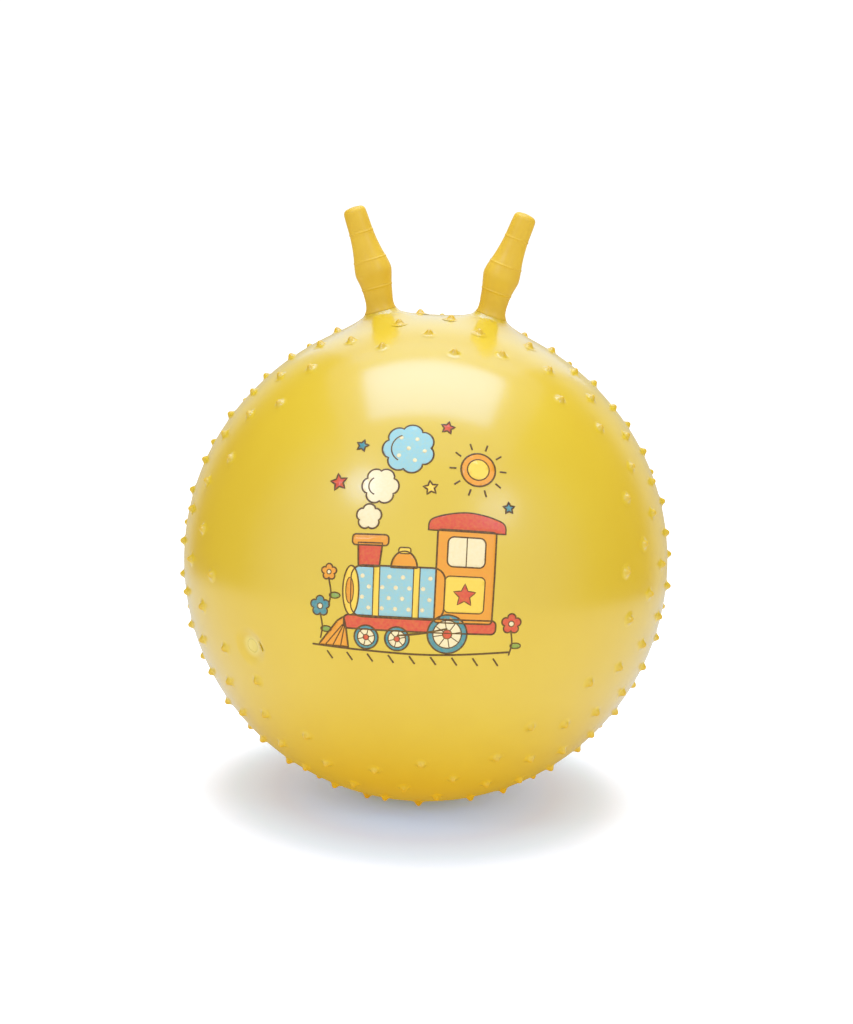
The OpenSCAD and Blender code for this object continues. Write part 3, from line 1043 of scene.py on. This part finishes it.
@dataclass
class FrontPrint:
    """The printed picture: a toy steam engine with puffs of smoke, a sun, stars and flowers."""

    tilt: float = math.radians(14)
    ink_thickness: float = 0.08 * MM
    first_layer: float = 0.1 * MM
    layer_step: float = 0.045 * MM
    cell: float = 5 * MM
    line_width: float = 1.5 * MM
    line_height: float = 0.34 * MM
    thin_merge: float = 0.005 * MM
    stretch: float = 3 * MM
    fills: dict[Ink, list[tuple[int, Outline]]] = field(default_factory=dict)
    lines: list[tuple[Outline, bool, float]] = field(default_factory=list)

    def place(self, u: float, v: float, height: float) -> Vector:
        """Return the point of the ball's front for a place in the picture.

        Args:
            u: Distance to the right of the picture's middle, along the ball.
            v: Distance upwards.
            height: Height above the ball.

        Returns:
            The point in the frame.
        """
        middle = Vector((0, -math.cos(self.tilt), math.sin(self.tilt)))
        up = Vector((0, math.sin(self.tilt), math.cos(self.tilt)))
        angle = math.hypot(u, v) / FORM.radius
        side = (Vector((1, 0, 0)) * u + up * v).normalized()
        return FORM.centre + (middle * math.cos(angle) + side * math.sin(angle)) * (FORM.radius + height)

    def line(self, points: Outline, weight: float = 1.0, closed: bool = False) -> None:
        """Add a line to the picture."""
        self.lines.append(([(u * MM, v * MM) for u, v in points], closed, weight))

    def shape(self, ink: Ink, points: Outline, layer: int = 0, weight: float = 1.0) -> None:
        """Add a filled shape to the picture, with an outline unless its weight is 0."""
        self.fills.setdefault(ink, []).append((layer, [(u * MM, v * MM) for u, v in points]))
        if weight:
            self.line(points, weight, closed=True)

    def draw_wheel(self, u: float, v: float, radius: float, spokes: int) -> None:
        """Draw a wheel with its tyre, hub and spokes."""
        self.shape(Ink.TEAL, disc(u, v, radius), 2)
        self.shape(Ink.CREAM, disc(u, v, radius * 0.72), 3, 0.8)
        for i in range(spokes):
            turn = math.tau * (i + 0.25) / spokes
            self.line([around(u, v, radius * share, turn) for share in (0.2, 0.7)], 0.7)
        self.shape(Ink.RED, disc(u, v, radius * 0.24), 4, 0.7)

    def draw_engine(self) -> None:
        """Draw the engine, which faces left."""
        self.shape(Ink.RED, rounded(-60, 72, -76, -64, 4), 1)
        self.shape(Ink.ORANGE, [(-58, -76), (-60, -66), (-66, -70), (-84, -93), (-56, -93)], 1)
        for k in (1, 2, 3):
            self.line([(mixed(-62, -58, k / 4), -73), (mixed(-84, -56, k / 4), -92)], 0.7)
        self.shape(Ink.BLUE, rounded(-54, 26, -65, -21, 10), 1)
        for row, v in enumerate((-30, -39, -48, -57)):
            for k in range(6 - row % 2):
                self.shape(Ink.CREAM, disc(-44 + 11.5 * k + 5.75 * (row % 2), v, 1.9), 2, 0)
        for u in (-32, 2):
            self.shape(Ink.YELLOW, rounded(u - 2.6, u + 2.6, -65, -21, 1), 3, 0.7)
        self.shape(Ink.YELLOW, ellipse(-54, -43, 7, 21), 3)
        self.shape(Ink.ORANGE, ellipse(-55, -43, 3.4, 11), 4, 0.8)
        self.shape(Ink.RED, [(-48, -22), (-49, -2), (-28, -2), (-30, -22)], 2)
        self.shape(Ink.ORANGE, rounded(-54, -23, -4, 5, 3), 3)
        self.shape(Ink.ORANGE, ellipse(-9, -22, 11, 14, 0, 180), 2)
        self.shape(Ink.YELLOW, rounded(-14, -4, -10, -5, 2), 3, 0.8)
        self.draw_cab()
        self.draw_wheel(-40, -83, 10.5, 6)
        self.draw_wheel(-13, -83, 10.5, 6)
        self.draw_wheel(30, -77, 17, 8)
        self.line(curve_through((-13, -80), (8, -77), (30, -72)), 1.3)

    def draw_cab(self) -> None:
        """Draw the engine's cab with its window, door panel and roof."""
        self.shape(Ink.ORANGE, rounded(18, 68, -67, 12, 3), 2)
        self.shape(Ink.YELLOW, rounded(26, 60, -58, -27, 4), 3, 0.8)
        self.shape(Ink.CREAM, rounded(27, 59, -19, 6, 5), 3)
        self.line([(43, -19), (43, 6)], 0.8)
        self.shape(Ink.RED, star(43, -43, 10), 4, 0.8)
        self.shape(Ink.RED, curve_through((10, 11), (14, 21), (43, 27), (72, 21), (76, 11)), 4)

    def draw_sky(self) -> None:
        """Draw the smoke, the sun and the stars."""
        self.shape(Ink.CREAM, lobed(-41, 20, 11, 5, 0.2), 1)
        self.shape(Ink.CREAM, lobed(-33, 47, 16, 6, 0.18, 60), 2)
        self.shape(Ink.BLUE, lobed(-11, 82, 23, 7, 0.16, 80), 1)
        self.line(ellipse(-35, 47, 8, 8, 120, 250), 0.8)
        self.line(ellipse(-13, 82, 13, 13, 110, 240), 0.8)
        for u, v in ((-18, 92), (-4, 91), (-11, 82), (3, 80), (-19, 75), (-5, 71)):
            self.shape(Ink.CREAM, disc(u, v, 1.9), 2, 0)
        self.shape(Ink.ORANGE, disc(50, 66, 15), 1)
        self.shape(Ink.YELLOW, disc(50, 66, 9.5), 2, 0.8)
        for i in range(10):
            self.line([around(50, 66, r, math.tau * i / 10) for r in (19, 25)])
        self.shape(Ink.RED, star(-70, 50, 8, 100), 1)
        self.shape(Ink.TEAL, star(-52, 84, 6, 75), 1)
        self.shape(Ink.RED, star(22, 104, 6.5, 80), 1)
        self.shape(Ink.YELLOW, star(10, 47, 6.5, 100), 1)
        self.shape(Ink.TEAL, star(78, 34, 5.5, 95), 1)

    def draw_ground(self) -> None:
        """Draw the rails and the flowers beside them."""
        self.line(curve_through((-90, -93), (-40, -95), (20, -96), (86, -92)), 1.1)
        for k in range(9):
            u = -76 + 18.5 * k
            self.line([(u, -98), (u + 5, -105)])
        for u, v, ink, size in ((-82, -58, Ink.TEAL, 9), (86, -66, Ink.RED, 9), (-74, -28, Ink.ORANGE, 7)):
            self.line(curve_through((u, v - 6), (u + 2, v - 18), (u, v - 29)), 0.9)
            self.shape(Ink.GREEN, ellipse(u + 5.5, v - 20, 5, 2.6), 1, 0.7)
            self.shape(ink, lobed(u, v, size, 5, 0.32), 2, 0.9)
            self.shape(Ink.CREAM, disc(u, v, size * 0.28), 3, 0.7)

    def fill_piece(self, ink: Ink) -> Piece:
        """Return all shapes of one ink, cut into small cells so that they follow the ball."""
        whole = bmesh.new()
        for layer, points in self.fills[ink]:
            bm = bmesh.new()
            bm.faces.new([bm.verts.new((u, v, 0)) for u, v in points])
            bmesh.ops.triangulate(bm, faces=bm.faces[:])
            for normal, places in zip((Vector((1, 0, 0)), Vector((0, 1, 0))), zip(*points)):
                first, last = math.ceil(min(places) / self.cell), math.floor(max(places) / self.cell)
                for k in range(first, last + 1):
                    sliced(bm, normal * (k * self.cell), normal, self.thin_merge)
            bmesh.ops.remove_doubles(bm, verts=bm.verts[:], dist=4 * self.thin_merge)
            bmesh.ops.recalc_face_normals(bm, faces=bm.faces[:])
            if bm.faces[:] and sum(face.normal.z for face in bm.faces) < 0:
                bmesh.ops.reverse_faces(bm, faces=bm.faces[:])
            height = self.first_layer + layer * self.layer_step
            for vert in bm.verts:
                vert.co = self.place(vert.co.x, vert.co.y, height)
            part = bpy.data.meshes.new("ink_shape")
            bm.to_mesh(part)
            bm.free()
            whole.from_mesh(part)
            bpy.data.meshes.remove(part)
        name = f"print_{ink.name.lower()}"
        return walled(added(name, whole, InkFinish.of(ink).build(), outward=False), self.ink_thickness)

    def line_piece(self) -> Piece:
        """Return every outline as one piece of flat-topped strokes with round ends."""
        whole = bmesh.new()
        for points, closed, weight in self.lines:
            half = self.line_width * weight / 2
            curve = bpy.data.curves.new("stroke", "CURVE")
            curve.dimensions = "3D"
            curve.bevel_depth = half
            curve.bevel_resolution = 1
            curve.use_fill_caps = True
            path = self.evened(points, closed)
            spline = curve.splines.new("POLY")
            spline.points.add(len(path) - 1)
            for spot, (u, v) in zip(spline.points, path):
                spot.co = (u, v, 0, 1)
            spline.use_cyclic_u = closed
            stroke = bpy.data.objects.new("stroke", curve)
            mesh = bpy.data.meshes.new_from_object(stroke)
            for vert in mesh.vertices:
                height = self.line_height * (0.5 + 0.5 * vert.co.z / half)
                vert.co = self.place(vert.co.x, vert.co.y, height)
            whole.from_mesh(mesh)
            bpy.data.objects.remove(stroke)
            bpy.data.curves.remove(curve)
            bpy.data.meshes.remove(mesh)
        return added("print_outline", whole, InkFinish.of(Ink.OUTLINE).build())

    def evened(self, points: Outline, closed: bool) -> Outline:
        """Return a line with its long stretches divided, so that it follows the ball."""
        ends = [*points, points[0]] if closed else points
        line = []
        for a, b in zip(ends, ends[1:]):
            count = max(1, math.ceil(math.dist(a, b) / self.stretch))
            line += [(mixed(a[0], b[0], i / count), mixed(a[1], b[1], i / count)) for i in range(count)]
        return line if closed else [*line, points[-1]]

    def build(self) -> list[Piece]:
        """Return the picture's pieces, one to an ink."""
        self.draw_sky()
        self.draw_ground()
        self.draw_engine()
        pieces = [self.fill_piece(ink) for ink in self.fills] + [self.line_piece()]
        for piece in pieces:
            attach(piece, BALL_BODY)
        return pieces


class LampKind(Enum):
    """What a studio light does, by its tint: it lights the colours, or it shows in the gloss."""

    FILL = (0.8, 1.0, 1.0)
    SHEEN = (0.42, 0.78, 1.55)


@dataclass(frozen=True)
class Softbox:
    """A soft light that faces the ball, with its place, its width and height and its power in watts."""

    name: str
    kind: LampKind
    place: Point3
    size: Point2
    power: float

    def build(self) -> None:
        """Add the light, which is seen either by the colours or by the gloss."""
        data = bpy.data.lights.new(f"{self.name}_{self.kind.name.lower()}", "AREA")
        data.shape = "RECTANGLE"
        data.size, data.size_y = self.size
        data.energy = self.power
        data.color = self.kind.value
        lamp = bpy.data.objects.new(data.name, data)
        place = Vector(self.place)
        turn = (FORM.centre - place).to_track_quat("-Z", "Y").to_matrix().to_4x4()
        lamp.matrix_world = Matrix.Translation(place) @ turn
        lamp.visible_camera = False
        lamp.visible_diffuse = self.kind is LampKind.FILL
        lamp.visible_glossy = self.kind is LampKind.SHEEN
        bpy.context.scene.collection.objects.link(lamp)


@dataclass
class Studio:
    """The pale floor, the soft lights and the camera."""

    azimuth: float = math.radians(2.3)
    elevation: float = math.radians(10.5)
    distance: float = 2.1
    roll: float = math.radians(2.3)
    image_width: int = 853
    image_height: int = 1024
    ball_x: float = 425.8
    ball_y: float = 559.0
    ball_pixels: float = 241.8
    clip_end: float = 100.0
    sensor: float = 36.0
    softboxes: tuple[Softbox, ...] = (
        Softbox("top", LampKind.FILL, (0.0, 0.3, 1.74), (1.2, 0.8), 11.0),
        Softbox("top", LampKind.SHEEN, (0.0, 0.03, 1.74), (1.25, 0.85), 7.7),
        Softbox("sky", LampKind.SHEEN, (0.0, 0.0, 2.4), (3.0, 3.0), 8.0),
        Softbox("back", LampKind.SHEEN, (0.0, 1.25, 1.35), (1.5, 1.5), 3.2),
        Softbox("left", LampKind.FILL, (-1.03, -1.56, 1.72), (0.5, 0.5), 3.2),
        Softbox("left", LampKind.SHEEN, (-1.03, -1.56, 1.72), (0.35, 0.35), 6.0),
        Softbox("right", LampKind.FILL, (1.26, -1.62, 1.47), (0.5, 0.5), 3.2),
        Softbox("right", LampKind.SHEEN, (1.26, -1.62, 1.47), (0.35, 0.35), 3.8),
    )
    surround: Colour = (1.04, 0.985, 1.02, 1.0)
    backdrop: Colour = (1.1, 1.1, 1.1, 1.0)
    room_axis: Point3 = (0.05, 1.0, 0.0)
    room: Tints = (
        (0.0, (0.42, 0.57, 0.82)), (0.25, (0.24, 0.37, 0.68)), (0.5, (0.07, 0.06, 0.05)),
        (0.7, (0.2, 0.1, 0.03)), (0.83, (0.34, 0.18, 0.06)), (0.91, (0.7, 0.61, 0.46)),
        (1.0, (0.66, 0.58, 0.42)),
    )
    floor_size: float = 14.0
    # Painted shadow: the exposure and the shade tints set the floor's colour for the camera, darker and
    # bluer towards the ball's foot, laid over the shadow that the lights cast.
    exposure: float = 1.12
    shade_reach: float = 0.45
    shade_gain: float = 2.5
    shade_width: float = 1.3
    shade_shift: float = 0.012
    shade_tints: Tints = (
        (0.05, (0.32, 0.64, 2.4)), (0.08, (0.44, 0.77, 2.05)), (0.12, (0.485, 0.72, 1.33)),
        (0.17, (0.555, 0.665, 0.9)), (0.22, (0.65, 0.765, 0.93)), (0.27, (0.88, 0.97, 1.12)),
        (0.33, (1.01, 1.05, 1.12)), (0.42, (1.06, 1.06, 1.06)),
    )
    bounce: Colour = (0.9, 0.9, 0.9, 1.0)
    # Painted light: near the ball the floor's colour for bounced light is warm, to throw warm light on the
    # ball's underside.
    painted_warm_bounce: Colour = (0.99, 0.855, 0.54, 1.0)
    glow: float = 0.14
    # Painted light: near the ball's foot the floor glows golden, seen only by bounced light, to warm the
    # ball's underside.
    painted_bounce_glow: Colour = (0.28, 0.175, 0.0, 1.0)
    # Painted reflection: in the gloss the floor shows as a glow, dark gold near the ball's foot and grey
    # farther out, and lets the surround through beyond.
    painted_underside_reflection: Colour = (0.5, 0.34, 0.05, 1.0)
    painted_floor_reflection: Colour = (0.72, 0.72, 0.72, 1.0)
    contact_reach: Point2 = (0.1, 0.34)
    bounce_reach: Point2 = (0.1, 0.42)
    painted_reflection_reach: Point2 = (0.9, 1.3)

    def camera(self) -> None:
        """Set the camera at the photograph's viewing angle."""
        data = bpy.data.cameras.new("camera")
        data.sensor_fit = "HORIZONTAL"
        data.sensor_width = self.sensor
        focal = self.ball_pixels / math.tan(math.asin(FORM.radius / self.distance))
        data.lens = focal / self.image_width * self.sensor
        data.clip_end = self.clip_end
        side, up = math.cos(self.elevation), math.sin(self.elevation)
        toward = Vector((math.sin(self.azimuth) * side, -math.cos(self.azimuth) * side, up))
        place = FORM.centre + toward * self.distance
        look = (-toward).to_track_quat("-Z", "Y").to_matrix().to_4x4()
        roll = Matrix.Rotation(self.roll, 4, "Z")
        rise = Matrix.Rotation(math.atan((self.ball_y - self.image_height / 2) / focal), 4, "X")
        swing = Matrix.Rotation(math.atan((self.ball_x - self.image_width / 2) / focal), 4, "Y")
        camera = bpy.data.objects.new("camera", data)
        camera.matrix_world = Matrix.Translation(place) @ look @ roll @ rise @ swing
        bpy.context.scene.collection.objects.link(camera)
        bpy.context.scene.camera = camera

    def world(self) -> None:
        """Set the surround, which differs for the colours, for the gloss and for the camera."""
        n = Nodes(bpy.data.worlds.new("surround"))
        axis = Vector(self.room_axis).normalized()
        toward = n.vector("DOT_PRODUCT", n.place.node.outputs["Generated"], axis)
        glossy = n.tree.nodes["Background"]
        n.put(glossy.inputs["Color"], n.graded(n.mapped(toward, -1.0, 1.0), self.room))
        path = n.node("ShaderNodeLightPath").outputs
        last = glossy.outputs["Background"]
        for ray, colour in (("Diffuse", self.surround), ("Camera", self.backdrop)):
            last = n.mixed_shader(path[f"Is {ray} Ray"], last, n.node("ShaderNodeBackground", colour))
        n.put(n.tree.nodes["World Output"].inputs["Surface"], last)
        bpy.context.scene.world = n.owner
        bpy.context.scene.view_settings.view_transform = "Standard"

    def shade(self, n: Nodes) -> Socket:
        """Return the floor's colour as the camera sees it, by the distance from the ball's foot: a painted
        shadow, darker and bluer near the foot, laid over the shadow that the lights cast.
        """
        stretch, shift = (self.shade_width, 1, 1), (0, -self.shade_shift, 0)
        away = n.vector("LENGTH", n.vector("MULTIPLY_ADD", n.place, stretch, shift, output="Vector"))
        reach = n.mapped(away, 0.0, self.shade_reach)
        tint = n.graded(reach, self.shade_tints, self.shade_reach, self.shade_gain)
        scale = self.exposure * self.shade_gain
        return n.node("ShaderNodeVectorMath", tint, operation="SCALE", Scale=scale).outputs["Vector"]

    def floor(self) -> Piece:
        """Return the floor, which isn't part of the ball and shows overexposed, as in a studio, with a
        painted shadow, painted bounce light and a painted reflection near the ball.
        """
        n = Nodes(bpy.data.materials.new("studio_floor"))
        away = n.vector("LENGTH", n.place)
        contact, near, far = (
            n.mapped(away, *reach, interpolation_type="SMOOTHSTEP")
            for reach in (self.contact_reach, self.bounce_reach, self.painted_reflection_reach)
        )
        path = n.node("ShaderNodeLightPath").outputs
        # Painted reflection: the gloss sees this glow instead of the lit floor.
        mirror = n.node("ShaderNodeEmission", n.blend(contact, self.painted_underside_reflection, self.painted_floor_reflection))
        last = n.mixed_shader(far, mirror.outputs[0], n.node("ShaderNodeBsdfTransparent"))
        cast = n.blend(near, self.painted_warm_bounce, self.bounce)
        painted_glow = n.blend(contact, self.painted_bounce_glow, (0, 0, 0, 1))
        white = (1, 1, 1, 1)
        # For the camera the floor takes the painted shadow; bounced light sees the painted warm colour and
        # the painted golden glow.
        rays = (("Diffuse", cast, painted_glow, 1.0), ("Camera", self.shade(n), white, self.glow))
        for ray, colour, glow, strength in rays:
            plain = n.node("ShaderNodeBsdfDiffuse", colour).outputs[0]
            light = n.node("ShaderNodeEmission", glow, strength).outputs[0]
            total = n.node("ShaderNodeAddShader", plain, light)
            last = n.mixed_shader(path[f"Is {ray} Ray"], last, total)
        n.put(n.tree.nodes["Material Output"].inputs["Surface"], last)
        bm = bmesh.new()
        bmesh.ops.create_grid(bm, x_segments=2, y_segments=2, size=self.floor_size / 2)
        floor = added("floor", bm, n.owner, outward=False)
        return floor

    def build(self) -> list[Piece]:
        """Set the camera and the lights, and return the floor."""
        self.camera()
        for softbox in self.softboxes:
            softbox.build()
        self.world()
        return [self.floor()]


def main() -> None:
    """Build every piece in order."""
    logging.basicConfig(level=logging.INFO, format="%(name)s: %(message)s")
    pearl = PearlVinyl().build()
    horn = HornVinyl().build()
    rubber = ValveRubber().build()
    pieces = [BallSkin(pearl), Nubs(NubVinyl().build()), Horn(horn, -1), Horn(horn, 1), Valve(rubber, pearl)]
    for builder in [Studio(), *pieces, FrontPrint()]:
        for piece in builder.build():
            log.info("%s: %s with %d faces", type(builder).__name__, piece.name, len(piece.data.polygons))


if __name__ == "__main__":
    main()
